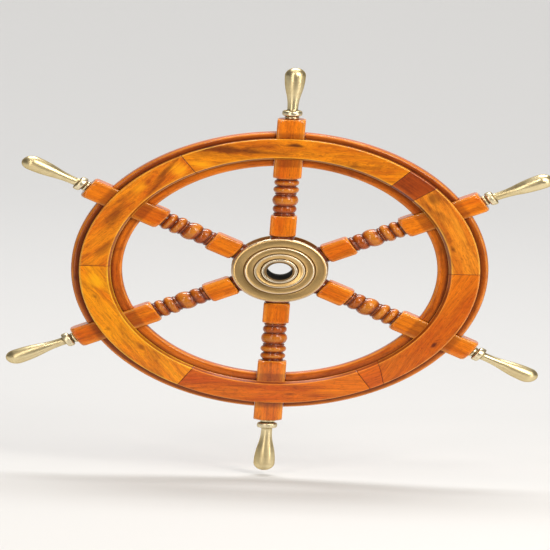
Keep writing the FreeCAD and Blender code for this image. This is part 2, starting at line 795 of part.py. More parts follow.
make_facing("front_felloe_4", "joint_lower_right", "joint_lower_left", -90.0, (-75.0, -105.0))
make_facing("front_felloe_5", "joint_lower_left", "joint_left - 360", -150.0, (-135.0, -165.0))
make_facing("front_felloe_6", "joint_left", "joint_upper_left", 150.0, (135.0, 165.0))
make_facing("front_filler_1", "joint_filler_high", "joint_filler_low", None, (45.0,))
make_facing("front_filler_2", "joint_scarf_inner", "joint_lower_right", None, (), scarf=-1)
for number, angle in SPOKES:
    screws = (angle - 15.0, angle + 15.0)
    make_facing(f"rear_felloe_{number}", f"{angle} + 30", f"{angle} - 30", angle, screws, flipped=True)
make_felloe_dowels()
make_countersunk_screws("rim_screws", "rim_screw_at", "rim_screw_radius", "rim_screw_head - 0.28",
                        "rim_screw_cone - 0.3", "0.3 - rim_half_depth - face_depth", "rim_screw_tip_z",
                        12, 15.0)
for number, angle in SPOKES:
    make_ferrule(number, angle)
    make_handle(number, angle)
make_handle_studs()
doc.recompute()

# ---------------------------------------------------------------- checks and export

for item in doc.Objects:
    if "Invalid" in item.State or "Error" in item.State:
        raise RuntimeError(f"{item.Name} did not build: {item.State}")
os.makedirs("parts", exist_ok=True)
for part in parts:
    shape = part.Shape
    if shape.isNull() or not shape.isValid():
        raise RuntimeError(f"{part.Label} has no valid shape")
    shape.exportStep(f"parts/{part.Label}.step")
print(f"{len(parts)} parts written")
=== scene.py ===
import math

import bmesh
import bpy
from mathutils import Matrix, Vector


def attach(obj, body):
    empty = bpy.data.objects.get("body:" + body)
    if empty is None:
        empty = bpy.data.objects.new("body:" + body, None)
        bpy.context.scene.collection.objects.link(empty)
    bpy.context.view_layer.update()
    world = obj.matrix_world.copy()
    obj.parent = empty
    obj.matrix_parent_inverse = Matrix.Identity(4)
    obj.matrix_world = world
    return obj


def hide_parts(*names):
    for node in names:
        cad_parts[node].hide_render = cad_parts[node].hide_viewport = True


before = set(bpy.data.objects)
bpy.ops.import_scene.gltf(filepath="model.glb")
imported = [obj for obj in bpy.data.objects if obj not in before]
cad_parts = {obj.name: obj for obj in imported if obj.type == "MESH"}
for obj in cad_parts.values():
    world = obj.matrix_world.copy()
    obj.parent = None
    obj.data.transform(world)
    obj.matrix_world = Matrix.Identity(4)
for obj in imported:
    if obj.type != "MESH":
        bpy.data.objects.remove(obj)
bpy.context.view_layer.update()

# The wheel stands in XZ with its axle along Y and its face toward -Y.
# Meshes are drawn in millimetres in the wheel's own frame: a distance out from the axle,
# a distance sideways, and a distance toward the front. MM turns them into metres.
MM = 0.001
SPOKE_ANGLES = {1: 90.0, 2: 30.0, 3: -30.0, 4: -90.0, 5: -150.0, 6: 150.0}
# Mesh points closer than this many metres are joined. A smaller radius in millimetres is a point.
JOIN_WITHIN = 0.000002
ON_AXIS = 0.000001

INNER_BLOCK_HALF = 12.8
INNER_BLOCK_WIDEN = 13.2 / 12.8
OUTER_BLOCK_HALF = 14.25
BLOCK_STARTS = 50.6
INNER_BLOCK_ENDS = 81.5
OUTER_BLOCK_STARTS = 138.0
OUTER_BLOCK_ENDS = 228.0
NECK = 10.6
RIM_HALF_DEPTH = 9.0
FACE_INNER = 168.5
FACE_OUTER = 200.0
FACE_FRONT = 19.5
FACE_MIDDLE = 184.75
FACE_BEVEL = 3.2
FACE_BEVEL_DEPTH = 5.0
RIM_INNER = 157.0
RIM_OUTER = 208.0
RIM_ROUND = 4.0
NEAR_EDGE = 0.7
NOTCH_PLAY, NOTCH_GAP = 0.03, 0.02

# Joints of the facing ring, in degrees from the right-hand side.
JOINTS = {
    "front_felloe_1": (52.2, 122.4),
    "front_felloe_2": (1.4, 41.7),
    "front_felloe_3": (-51.5, 1.4),
    "front_felloe_4": (-117.5, -60.1),
    "front_felloe_5": (-179.3, -117.5),
    "front_felloe_6": (122.4, 180.7),
    "front_filler_1": (41.7, 52.2),
    "front_filler_2": (-60.1, -51.5),
}
SCARF_INNER = -51.5
SCARF_OUTER = -55.8


# ---------------------------------------------------------------- mesh helpers


def wheel_point(out, side, front, angle=0.0):
    """Point in metres from distances in the wheel's frame, turned to an angle in degrees."""
    turn = math.radians(angle)
    across = out * math.cos(turn) - side * math.sin(turn)
    height = out * math.sin(turn) + side * math.cos(turn)
    return Vector((across * MM, -front * MM, height * MM))


def fillet(corners, steps):
    """Outline through corners (x, y, radius), each corner rounded to its radius."""
    points = []
    count = len(corners)
    for index, (x, y, radius) in enumerate(corners):
        here = Vector((x, y))
        back = Vector(corners[index - 1][:2]) - here
        ahead = Vector(corners[(index + 1) % count][:2]) - here
        if radius <= 0:
            points.append((x, y))
            continue
        back_way = back.normalized()
        ahead_way = ahead.normalized()
        half = back_way.angle(ahead_way) / 2
        reach = min(radius / math.tan(half), back.length * 0.49, ahead.length * 0.49)
        bend = reach * math.tan(half)
        centre = here + (back_way + ahead_way).normalized() * (bend / math.sin(half))
        first = here + back_way * reach - centre
        last = here + ahead_way * reach - centre
        sweep = first.angle_signed(last)
        for step in range(steps + 1):
            turned = Matrix.Rotation(-sweep * step / steps, 2) @ first
            points.append(tuple(centre + turned))
    return points


def clean(mesh):
    """Joins points that meet and turns every face outward."""
    work = bmesh.new()
    work.from_mesh(mesh)
    bmesh.ops.remove_doubles(work, verts=work.verts, dist=JOIN_WITHIN)
    bmesh.ops.dissolve_degenerate(work, edges=work.edges, dist=JOIN_WITHIN)
    bmesh.ops.recalc_face_normals(work, faces=work.faces)
    work.to_mesh(mesh)
    work.free()


def make_object(node, verts, faces, body, material, recess, edge, crease=38.0):
    """Smooth-shaded mesh object that rides on a body in place of a CAD node.

    recess and edge hold one number for each vertex: 1 where the colour is darkest (dust and old varnish in
    grooves and joints, and painted shade), and 1 on an edge lightened by wear and painted highlight.
    """
    name = node + "_shaped"
    mesh = bpy.data.meshes.new(name)
    mesh.from_pydata([tuple(v) for v in verts], [], faces)
    mesh.validate()
    for attribute, numbers in (("recess", recess), ("edge", edge)):
        layer = mesh.attributes.new(attribute, "FLOAT", "POINT")
        layer.data.foreach_set("value", numbers)
    clean(mesh)
    mesh.polygons.foreach_set("use_smooth", [True] * len(mesh.polygons))
    mesh.set_sharp_from_angle(angle=math.radians(crease))
    obj = bpy.data.objects.new(name, mesh)
    bpy.context.scene.collection.objects.link(obj)
    mesh.materials.append(material)
    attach(obj, body)
    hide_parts(node)


def loft(rings):
    """Faces that join rings of equal length, with a flat cap at each end."""
    verts = [point for ring in rings for point in ring]
    width = len(rings[0])
    faces = []
    for row in range(len(rings) - 1):
        for column in range(width):
            following = (column + 1) % width
            a = row * width + column
            b = row * width + following
            faces.append((a, b, b + width, a + width))
    faces.append(tuple(range(width - 1, -1, -1)))
    last = (len(rings) - 1) * width
    faces.append(tuple(range(last, last + width)))
    return verts, faces


def revolve(profile, segments, place, closed):
    """Faces of a profile of (along, radius) turned all the way round; place makes the points.

    A closed profile runs back from its last point to its first, as a ring's does.
    """
    verts = []
    starts = []
    for along, radius in profile:
        starts.append(len(verts))
        if radius < ON_AXIS:
            verts.append(place(along, 0.0, 0.0))
            continue
        for segment in range(segments):
            turn = 2 * math.pi * segment / segments
            verts.append(place(along, radius * math.cos(turn), radius * math.sin(turn)))
    faces = []
    rows = [(row, row + 1) for row in range(len(profile) - 1)]
    if closed:
        rows.append((len(profile) - 1, 0))
    for row, following_row in rows:
        low, high = starts[row], starts[following_row]
        low_point = profile[row][1] < ON_AXIS
        high_point = profile[following_row][1] < ON_AXIS
        for segment in range(segments):
            following = (segment + 1) % segments
            if low_point:
                faces.append((low, high + segment, high + following))
            elif high_point:
                faces.append((low + following, low + segment, high))
            else:
                faces.append((low + following, low + segment, high + segment, high + following))
    return verts, faces


# ---------------------------------------------------------------- node helpers


class Shader:
    """Short way to build a material's node tree."""

    def __init__(self, name):
        self.material = bpy.data.materials.new(name)
        self.material.use_nodes = True
        self.tree = self.material.node_tree
        self.surface = self.tree.nodes["Principled BSDF"]

    def add(self, kind, inputs=None, **settings):
        node = self.tree.nodes.new(kind)
        for key, number in settings.items():
            setattr(node, key, number)
        for key, source in (inputs or {}).items():
            self.feed(node.inputs[key], source)
        return node

    def feed(self, socket, source):
        if isinstance(source, bpy.types.NodeSocket):
            self.tree.links.new(source, socket)
        else:
            socket.default_value = source

    def maths(self, operation, first, second=0.0, third=0.0):
        return self.add("ShaderNodeMath", {0: first, 1: second, 2: third}, operation=operation).outputs[0]

    def vector_maths(self, operation, first, second):
        node = self.add("ShaderNodeVectorMath", {0: first, 1: second}, operation=operation)
        return node.outputs[0]

    def noise(self, vector, scale, detail=3.0, roughness=0.5, distortion=0.0):
        inputs = {"Vector": vector, "Scale": scale, "Detail": detail, "Roughness": roughness,
                  "Distortion": distortion}
        return self.add("ShaderNodeTexNoise", inputs)

    def span(self, value, low, high, to_low=0.0, to_high=1.0, smooth=False):
        inputs = {"Value": value, "From Min": low, "From Max": high, "To Min": to_low, "To Max": to_high}
        node = self.add("ShaderNodeMapRange", inputs)
        node.interpolation_type = "SMOOTHSTEP" if smooth else "LINEAR"
        return node.outputs["Result"]

    def mix(self, factor, first, second):
        node = self.add("ShaderNodeMix", data_type="RGBA")
        self.feed(node.inputs["Factor"], factor)
        self.feed(node.inputs[6], first)
        self.feed(node.inputs[7], second)
        return node.outputs[2]

    def layers(self, colour, rows):
        """Colour with others laid over it; each row is (share, strength, colour)."""
        for share, strength, tint in rows:
            colour = self.mix(self.maths("MULTIPLY", share, strength), colour, tint)
        return colour

    def value_of(self, name):
        return self.add("ShaderNodeAttribute", attribute_name=name).outputs["Fac"]

    def bump(self, height, strength, distance):
        inputs = {"Height": height, "Strength": strength, "Distance": distance}
        return self.add("ShaderNodeBump", inputs).outputs["Normal"]


def srgb(red, green, blue):
    """Linear colour from 0-255 display values."""
    def linear(channel):
        share = channel / 255
        return share / 12.92 if share <= 0.04045 else ((share + 0.055) / 1.055) ** 2.4
    return (linear(red), linear(green), linear(blue), 1.0)


# ---------------------------------------------------------------- materials

WIDEST_KNOT = 7.0
RING_GAP = 0.0068
BASE_GLOSS, COAT_IOR = 0.15, 1.45
COAT_ON_RIM = {"Coat Weight": 0.55, "Coat Roughness": 0.15}
COAT_ON_SPOKES = {"Coat Weight": 0.8, "Coat Roughness": 0.09}


def shaded(colour, red, green, blue, added=0.0):
    """A linear colour with its channels multiplied, the last two lifted, and none above 1."""
    channels = (colour[0] * red, colour[1] * green + added, colour[2] * blue + added)
    return tuple(min(channel, 1.0) for channel in channels) + (1.0,)


def varnished_wood(name, angle, seed, light, middle, dark, patches=(), glows=(), figure=1.0, tilt=0.0,
                   blotch=0.5, along_spoke=False, around=False):
    """Varnished hardwood whose grain runs straight along a plank.

    angle is the direction out from the axle through the piece. The plank lies across it, or along it
    for a spoke, or bends round the wheel. patches are dark marks and glows pale ones: (angle on the
    wheel, millimetres out, length, width, strength). A small dark patch is a knot.
    """
    s = Shader(name)
    place = s.add("ShaderNodeTexCoord").outputs["Object"]
    turned = s.add("ShaderNodeMapping", {"Vector": place, "Rotation": (0, math.radians(angle), 0)})
    axes = s.add("ShaderNodeSeparateXYZ", {"Vector": turned.outputs["Vector"]})
    out, depth, side = axes.outputs["X"], axes.outputs["Y"], axes.outputs["Z"]
    if along_spoke:
        out, side = side, out
    if around:
        turn = s.maths("ARCTAN2", side, out)
        out = s.maths("SQRT", s.maths("MULTIPLY_ADD", out, out, s.maths("MULTIPLY", side, side)))
        side = s.maths("MULTIPLY", turn, FACE_MIDDLE * MM)
    flat = s.add("ShaderNodeCombineXYZ", {"X": side, "Y": out, "Z": 0.0}).outputs["Vector"]
    plank = s.add("ShaderNodeCombineXYZ", {"X": side, "Y": out, "Z": depth}).outputs["Vector"]
    plank = s.add("ShaderNodeMapping", {"Vector": plank, "Rotation": (0, 0, math.radians(tilt)),
                                        "Location": (seed * 0.731, seed * 0.117, seed * 0.053)})
    plank = plank.outputs["Vector"]

    def grain(length_scale, width_scale, detail, roughness, distortion=0.0):
        stretched = s.vector_maths("MULTIPLY", warped, (length_scale, width_scale, width_scale))
        return s.noise(stretched, 1.0, detail, roughness, distortion).outputs["Fac"]

    def mark(spot):
        where, far, length, width, strength = spot
        offset = math.radians(where - angle)
        centre = (far * MM * math.sin(offset), far * MM * math.cos(offset), 0.0)
        gap = s.vector_maths("SUBTRACT", flat, centre)
        gap = s.vector_maths("MULTIPLY", gap, (1.0 / (length * MM), 1.0 / (width * MM), 1.0))
        gap = s.add("ShaderNodeVectorMath", {0: gap}, operation="LENGTH").outputs["Value"]
        gap = s.maths("MULTIPLY_ADD", s.maths("SUBTRACT", ragged, 0.5), 1.1, gap)
        return s.span(gap, 0.15, 1.0, strength, 0.0, smooth=True)

    # the grain wanders slowly, and bends round the knots
    warped = plank
    sway = s.maths("SUBTRACT", grain(8.0, 20.0, 2.0, 0.45), 0.5)
    ripple = s.maths("SUBTRACT", grain(30.0, 45.0, 2.0, 0.5), 0.5)
    ragged = grain(60.0, 160.0, 3.0, 0.55)
    shift = s.maths("MULTIPLY", sway, 0.011 * figure)
    shift = s.maths("MULTIPLY_ADD", ripple, 0.0022 * figure, shift)
    for where, far, length, width, _ in patches:
        if width < WIDEST_KNOT:
            around_knot = mark((where, far, length * 2.5, width * 2.2, 1.0))
            shift = s.maths("MULTIPLY_ADD", around_knot, width * 1.4 * MM, shift)
    push = s.add("ShaderNodeCombineXYZ", {"X": 0.0, "Y": shift, "Z": s.maths("MULTIPLY", shift, 0.6)})
    warped = s.vector_maths("ADD", plank, push.outputs["Vector"])

    broad = s.span(grain(7.0, 42.0, 4.0, 0.55, 0.4), 0.36, 0.64, smooth=True)
    streak = s.span(grain(13.0, 190.0, 5.0, 0.62), 0.47, 0.74)
    pale_streak = s.span(grain(11.0, 150.0, 4.0, 0.6), 0.52, 0.78)
    thread = s.span(grain(24.0, 430.0, 3.0, 0.6), 0.50, 0.72)
    fleck = s.span(grain(230.0, 640.0, 2.0, 0.55), 0.55, 0.72)
    mottle = s.span(grain(120.0, 250.0, 3.0, 0.6), 0.45, 0.75)
    fibre = grain(50.0, 1100.0, 3.0, 0.6)
    pores = s.span(grain(140.0, 2100.0, 1.0, 0.5), 0.60, 0.70)
    curl = s.span(grain(75.0, 26.0, 2.0, 0.5), 0.35, 0.7)
    cloud = s.span(grain(16.0, 38.0, 4.0, 0.6, 1.2), 0.50, 0.72, smooth=True)
    rise = s.add("ShaderNodeSeparateXYZ", {"Vector": warped}).outputs["Y"]
    rings = s.maths("FRACT", s.maths("MULTIPLY", rise, 1.0 / RING_GAP))
    late = s.maths("MULTIPLY", s.span(rings, 0.40, 0.90, smooth=True), s.span(rings, 0.92, 1.0, 1.0, 0.0))

    colour = s.layers(s.mix(broad, light, middle), [
        (curl, 0.16, light), (late, 0.15 * figure, dark), (streak, 0.46, dark), (thread, 0.34, dark),
        (cloud, blotch, dark), (pale_streak, 0.42, light), (mottle, 0.28, light), (fleck, 0.36, dark),
        (s.span(fibre, 0.40, 0.72), 0.24, dark), (pores, 0.30, dark)])
    for spot in glows:
        share = s.maths("MULTIPLY", mark(spot), s.span(streak, 0.0, 1.0, 1.0, 0.4))
        colour = s.mix(share, colour, shaded(light, 1.12, 1.35, 1.6))
    for spot in patches:
        colour = s.mix(mark(spot), colour, shaded(dark, 0.55, 0.5, 0.6))

    # the recess mark darkens the colour: dust and old varnish in the joints and grooves, and painted shade
    # where parts shadow each other; the edge mark lightens it: pale worn varnish and painted highlight lines
    # along the edges
    wear_and_highlight = s.span(s.noise(plank, 48.0, 3.0).outputs["Fac"], 0.28, 0.62, 0.35, 1.0)
    wear_and_highlight = s.maths("MULTIPLY", s.value_of("edge"), wear_and_highlight)
    colour = s.layers(colour, [(s.value_of("recess"), 0.92, shaded(dark, 0.75, 0.65, 0.6)),
                               (wear_and_highlight, 0.75, shaded(light, 1.2, 1.7, 2.5, 0.04))])

    relief = s.maths("MULTIPLY_ADD", pores, -0.6, fibre)
    skin = s.noise(place, 210.0, 2.0, 0.5).outputs["Fac"]
    s.feed(s.surface.inputs["Base Color"], colour)
    s.feed(s.surface.inputs["Roughness"], s.maths("MULTIPLY_ADD", fibre, 0.25, 0.36))
    s.feed(s.surface.inputs["Normal"], s.bump(relief, 0.30, 0.00010))
    s.surface.inputs["Specular IOR Level"].default_value = BASE_GLOSS
    s.surface.inputs["Coat IOR"].default_value = COAT_IOR
    for socket, number in (COAT_ON_SPOKES if along_spoke else COAT_ON_RIM).items():
        s.surface.inputs[socket].default_value = number
    s.feed(s.surface.inputs["Coat Normal"], s.bump(s.maths("MULTIPLY_ADD", fibre, 0.4, skin), 0.12, 0.00025))
    return s.material


def turned_metal(name, bright, dull, angle=None, roughness=0.26, brushed=0.0, bore=0.0, relief=0.10,
                 lined=0.30):
    """Polished or satin metal turned in a lathe, with fine lines round the axis of the piece.

    The axis is the axle when angle is None, and otherwise points out from it at that angle.
    brushed is how far the fine lines stretch the highlights, relief how deep they are and lined how
    much they show as colour. Inside the bore radius the colour is near black and dull: painted shade in the
    bore.
    """
    s = Shader(name)
    place = s.add("ShaderNodeTexCoord").outputs["Object"]
    turned = s.add("ShaderNodeMapping", {"Vector": place, "Rotation": (0, math.radians(angle or 0.0), 0)})
    axes = s.add("ShaderNodeSeparateXYZ", {"Vector": turned.outputs["Vector"]})
    flat = s.add("ShaderNodeCombineXYZ", {"X": axes.outputs["X"], "Y": axes.outputs["Z"], "Z": 0.0})
    radius = s.add("ShaderNodeVectorMath", {0: flat.outputs["Vector"]}, operation="LENGTH").outputs["Value"]
    along = s.maths("ADD", axes.outputs["Y"], radius) if angle is None else axes.outputs["X"]
    line = s.add("ShaderNodeCombineXYZ", {"X": along, "Y": 0.0, "Z": 0.0}).outputs["Vector"]
    lines = s.noise(line, 1500.0, 3.0, 0.7).outputs["Fac"]
    bands = s.noise(line, 260.0, 2.0, 0.5).outputs["Fac"]
    smudge = s.span(s.noise(place, 30.0, 4.0, 0.62, 0.5).outputs["Fac"], 0.40, 0.70, smooth=True)
    speck = s.span(s.noise(place, 520.0, 2.0, 0.5).outputs["Fac"], 0.62, 0.78)
    recess = s.value_of("recess")
    # recess darkens the grooves: painted shade; edge lightens the crests: rubbed brass and painted highlight
    colour = s.layers(bright, [
        (smudge, 0.50, dull), (s.span(lines, 0.42, 0.70), lined, dull),
        (s.span(bands, 0.45, 0.70), 0.30, dull), (speck, lined * 1.1, shaded(dull, 0.5, 0.45, 0.4)),
        (recess, 0.90, shaded(dull, 0.16, 0.13, 0.10)), (s.value_of("edge"), 0.65, RUBBED_AND_LIT_BRASS)])
    rough = s.maths("MULTIPLY_ADD", smudge, 0.10, roughness)
    rough = s.maths("MULTIPLY_ADD", lines, lined * 0.25, rough)
    rough = s.maths("MULTIPLY_ADD", recess, 0.25, rough)
    s.surface.inputs["Metallic"].default_value = 1.0
    s.surface.inputs["Specular Tint"].default_value = METAL_GRAZING_TINT
    if bore > 0.0:
        # inside the bore the colour goes near black and dull: painted shade
        inside = s.span(radius, bore * 0.985, bore, 1.0, 0.0)
        colour = s.mix(inside, colour, BORE_SHADE)
        rough = s.maths("MAXIMUM", rough, s.maths("MULTIPLY", inside, 0.9))
        s.feed(s.surface.inputs["Metallic"], s.maths("SUBTRACT", 1.0, inside))
    s.feed(s.surface.inputs["Base Color"], colour)
    s.feed(s.surface.inputs["Roughness"], rough)
    if brushed > 0.0:
        s.surface.inputs["Anisotropic"].default_value = brushed
        ring = s.add("ShaderNodeTangent", direction_type="RADIAL", axis="Y").outputs["Tangent"]
        s.feed(s.surface.inputs["Tangent"], ring)
    height = s.maths("MULTIPLY_ADD", bands, 1.5, lines)
    s.feed(s.surface.inputs["Normal"], s.bump(height, relief, 0.00006))
    return s.material


# ---------------------------------------------------------------- rim pieces


# Number of pieces that each long straight run of a section is cut into, by the run's first point.
FACING_RUNS = {0: 5, 1: 3, 6: 10, 11: 3, 16: 2}
RIM_RUNS = {6: 16, 13: 6, 20: 16, 27: 6}


def half_block(out):
    """Angle in degrees that half a spoke's outer block takes at a distance from the axle."""
    return math.degrees(math.asin((OUTER_BLOCK_HALF + NOTCH_PLAY) / out))


def facing_outline(bottom, inset):
    """Section of the facing ring as (out, front): bevelled inside, rounded outside."""
    inner = FACE_INNER + inset
    outer = FACE_OUTER - inset
    top = FACE_FRONT - inset
    corners = [
        (inner, bottom, 0.0),
        (outer, bottom, 0.0),
        (outer, top, 1.8),
        (FACE_INNER + FACE_BEVEL + inset * 0.6, top, 0.8),
        (inner, FACE_FRONT - FACE_BEVEL_DEPTH - inset * 0.4, 0.5),
    ]
    return dense(fillet(corners, 4), FACING_RUNS)


def rim_outline(_, inset):
    """Section of the middle ring, with its four rounded edges."""
    inner, outer, half = RIM_INNER + inset, RIM_OUTER - inset, RIM_HALF_DEPTH - inset
    places = [(inner, -half), (outer, -half), (outer, half), (inner, half)]
    return dense(fillet([place + (RIM_ROUND,) for place in places], 6), RIM_RUNS)


def dense(points, runs):
    """Adds points along the long straight runs of a closed outline, with one close to each end."""
    filled = []
    for index, start in enumerate(points):
        end = points[(index + 1) % len(points)]
        shares = [0.0]
        if index in runs:
            near = min(NEAR_EDGE / math.dist(start, end), 0.3)
            shares += [near + (1 - 2 * near) * step / runs[index] for step in range(runs[index] + 1)]
        for share in shares:
            filled.append((start[0] + (end[0] - start[0]) * share, start[1] + (end[1] - start[1]) * share))
    return filled


def sweep(stations):
    """Rings round the wheel. Each station is (angle of out, outline of the section, recess)."""
    rings = []
    marks = []
    for angle_at, section, recess in stations:
        rings.append([wheel_point(out, 0.0, front, angle_at(out)) for out, front in section])
        marks.extend([recess] * len(section))
    return rings, marks


def between(first, last, share):
    return lambda out: first(out) * (1 - share) + last(out) * share


def moved(angle_at, turn):
    return lambda out: angle_at(out) + turn


# Rows over the softened end of a felloe: degrees from its end, inset of the section, dust held.
SOFT_END = [(0.02, 0.45, 1.0), (0.075, 0.16, 0.8), (0.15, 0.0, 0.15)]
EVEN_FROM = 0.3
STATION_STEP = 1.6


def swept_stations(marks, section):
    """Stations from one end of a felloe to the other, with softened ends.

    Of three runs the middle one is the notch over a spoke's block.
    """
    start, end = marks[0], marks[-1]
    stations = [(moved(start, turn), section(RIM_HALF_DEPTH, inset), held) for turn, inset, held in SOFT_END]
    limits = [moved(start, EVEN_FROM)] + list(marks[1:-1]) + [moved(end, -EVEN_FROM)]
    for index in range(len(limits) - 1):
        low, high = limits[index], limits[index + 1]
        bottom = OUTER_BLOCK_HALF + NOTCH_GAP if index == 1 else RIM_HALF_DEPTH
        steps = max(2, int(abs(high(FACE_MIDDLE) - low(FACE_MIDDLE)) / STATION_STEP))
        for count in range(steps + 1):
            stations.append((between(low, high, count / steps), section(bottom, 0.0), 0.0))
    for turn, inset, held in reversed(SOFT_END):
        stations.append((moved(end, -turn), section(RIM_HALF_DEPTH, inset), held))
    return stations


def worn_and_lit_edge_marks(stations, corners, reach):
    """1 at the edges of a section that are lightened by wear and painted highlight, falling to 0 within
    reach; one number for each vertex.
    """
    marks = []
    for _, section, _ in stations:
        for point in section:
            gap = min(math.dist(point, corner) for corner in corners)
            marks.append(max(0.0, 1.0 - gap / reach))
    return marks


def scarf_angle(out):
    share = (out - FACE_INNER) / (FACE_OUTER - FACE_INNER)
    return SCARF_INNER + (SCARF_OUTER - SCARF_INNER) * share


def steady(angle):
    return lambda out: angle


def make_facing(name, spoke, material):
    marks = [steady(angle) for angle in JOINTS[name]]
    if name == "front_felloe_3":
        marks[0] = scarf_angle
    if name == "front_filler_2":
        marks[1] = scarf_angle
    if spoke is not None:
        marks[1:1] = [lambda out: spoke - half_block(out), lambda out: spoke + half_block(out)]
    stations = swept_stations(marks, facing_outline)
    rings, recess = sweep(stations)
    verts, faces = loft(rings)
    bevel = FACE_INNER + FACE_BEVEL
    # the outer arris and both edges of the bevel are lightened: worn varnish and painted highlight lines
    corners = [(FACE_OUTER - 0.5, FACE_FRONT - 0.5), (bevel, FACE_FRONT),
               (FACE_INNER, FACE_FRONT - FACE_BEVEL_DEPTH)]
    edge = worn_and_lit_edge_marks(stations, corners, 1.3)
    # painted shade darkens the bevel and the two walls
    painted_shade = [0.65 if out < bevel - 0.6 or front < FACE_FRONT - 2.4 else 0.0
             for _, section, _ in stations for out, front in section]
    recess = [max(pair) for pair in zip(recess, painted_shade)]
    make_object(name, verts, faces, "wheel", material, recess, edge)


# How far from the facing ring its painted shadow reaches on the middle ring, outside it and inside it.
SHADOW_OUTSIDE, SHADOW_INSIDE = 6.5, 3.0


def make_middle_felloe(number, material):
    spoke_high = SPOKE_ANGLES[number]
    ends = [lambda out: spoke_high - 60.0 + half_block(out), lambda out: spoke_high - half_block(out)]
    stations = swept_stations(ends, rim_outline)
    rings, _ = sweep(stations)
    verts, faces = loft(rings)
    half = RIM_HALF_DEPTH
    # the four rounded edges are lightened: worn varnish and painted highlight lines
    corners = [(out, front) for out in (RIM_INNER + 1.0, RIM_OUTER - 1.0)
               for front in (half - 1.0, 1.0 - half)]
    edge = worn_and_lit_edge_marks(stations, corners, 2.0)
    # the facing ring's painted shadow darkens the middle ring's faces beside it, and the softened ends keep
    # some dust
    beside = []
    for _, section, held in stations:
        for out, front in section:
            outside = out > FACE_MIDDLE
            gap = out - FACE_OUTER if outside else FACE_INNER - out
            reach = SHADOW_OUTSIDE if outside else SHADOW_INSIDE
            shade = max(0.0, 1.0 - max(gap, 0.0) / reach) if abs(front) > half - 1.0 else 0.0
            beside.append(max(held * 0.6, 0.95 * shade))
    make_object(f"middle_felloe_{number}", verts, faces, "wheel", material, beside, edge)


# ---------------------------------------------------------------- spokes


def rounded_square(turn, half, corner):
    """Distance from the middle of a square with rounded corners to its edge, in a direction."""
    folded = turn % (math.pi / 2)
    folded = min(folded, math.pi / 2 - folded)
    straight = half - corner
    if half * math.tan(folded) <= straight:
        return half / math.cos(folded)
    lean = math.cos(folded) + math.sin(folded)
    skew = math.cos(folded) - math.sin(folded)
    return straight * lean + math.sqrt(max(corner * corner - (straight * skew) ** 2, 0.0))


def bead(start, end, valley, peak, steps):
    """Points (along, radius) of a round bead on the turned part."""
    half = (end - start) / 2
    rise = peak - valley
    radius = (half * half + rise * rise) / (2 * rise)
    middle = (start + end) / 2
    points = []
    for step in range(steps + 1):
        along = start + (end - start) * step / steps
        drop = radius - math.sqrt(max(radius * radius - (along - middle) ** 2, 0.0))
        points.append((along, peak - drop))
    return points


# The turning of a spoke from its inner block on: a thin ring, a bead, a ball, a cove ring and two
# beads. A row is (start, end, radius at both, radius at the crest, steps) or a point (along, radius).
TURNING = [
    (0.0, NECK), (0.6, NECK),
    (0.7, 3.4, 10.5, 11.1, 5), (3.8, 10.25), (4.2, 10.1), (4.6, 10.15),
    (4.8, 14.6, 10.3, 12.0, 11), (14.8, 10.2), (15.0, 10.1), (15.2, 10.15),
    (15.4, 30.6, 10.3, 13.1, 15), (30.9, 10.2), (31.2, 10.1), (31.5, 10.15),
    (31.8, 34.0, 10.4, 11.0, 5),
    (34.4, 43.6, 10.6, 12.9, 11), (44.0, 10.0), (44.8, 10.0),
    (45.2, 54.2, 10.2, 12.6, 11), (54.5, 10.4), (54.8, 10.5),
]


def turned_profile():
    """Points (along, radius) of the turned middle of a spoke."""
    points = []
    for row in TURNING:
        if len(row) == 2:
            points.append((INNER_BLOCK_ENDS + row[0], row[1]))
        else:
            start, end, valley, peak, steps = row
            points += bead(INNER_BLOCK_ENDS + start, INNER_BLOCK_ENDS + end, valley, peak, steps)
    return points + [(OUTER_BLOCK_STARTS, NECK)]


def shoulder(depth, run, radius, corner):
    """Radius that rounds a block's corners near its end; depth is the distance in from the end."""
    share = min(max(depth / run, 0.0), 1.0)
    return radius + (corner - radius) * share + 1.6 * share * (1 - share)


def around_angles():
    """Directions round a spoke, close together at the four corners."""
    turn = math.radians(39.2)
    angles = []
    for quarter in range(4):
        base = quarter * math.pi / 2
        for step in range(8):
            angles.append(base - turn + 2 * turn * step / 8)
        for step in range(8):
            angles.append(base + turn + (math.pi / 2 - 2 * turn) * step / 8)
    return angles


TENON_STARTS = 36.2
TENON = 12.4
TENON_ROOT = 11.6
# A row is a square cut back to a radius: round where the square is this large, square with no limit.
ROUND_ROW = 40.0
NO_LIMIT = 99.0
BLOCK_CORNER = 2.6
BLOCK_SOFT = 2.4
BLOCK_WEAR_AND_HIGHLIGHT = 0.45
# Each block end: length of its shoulder, and the radius at the end and where the corners are full.
INNER_END_IN = (5.0, 13.6, 18.2)
INNER_END_OUT = (5.5, 13.6, 18.2)
OUTER_END = (6.0, 15.0, 20.2)
INNER_BLOCK_ROWS = (57.0, 62.0, 67.0, 72.0)
OUTER_BLOCK_ROWS = (147.0, 151.0, 155.0, 158.0, 162.0, 168.0, 176.0, 184.0, 192.0, 200.0, 206.0, 210.0, 214.0,
                    218.0)


def block_end(end, inward, half, run, radius, corner):
    """Rows over the softened end of a block, from the end face into the block."""
    rows = []
    for depth in (0.0, 0.12, 0.35, 0.7, 1.15, 1.7, 2.4, 3.3, 4.4, run):
        drop = BLOCK_SOFT - math.sqrt(BLOCK_SOFT ** 2 - (BLOCK_SOFT - min(depth, BLOCK_SOFT)) ** 2)
        limit = shoulder(depth, run, radius, corner) - drop
        # the arris round the end and the block's corners are lightened: worn varnish and painted highlight
        # lines
        wear_and_highlight = 1.0 if 0.2 < depth < 1.0 else BLOCK_WEAR_AND_HIGHLIGHT if depth >= 1.0 else 0.0
        held = 0.5 if depth < 0.2 else 0.0
        rows.append((end + inward * depth, half - drop, limit, held, wear_and_highlight))
    return rows


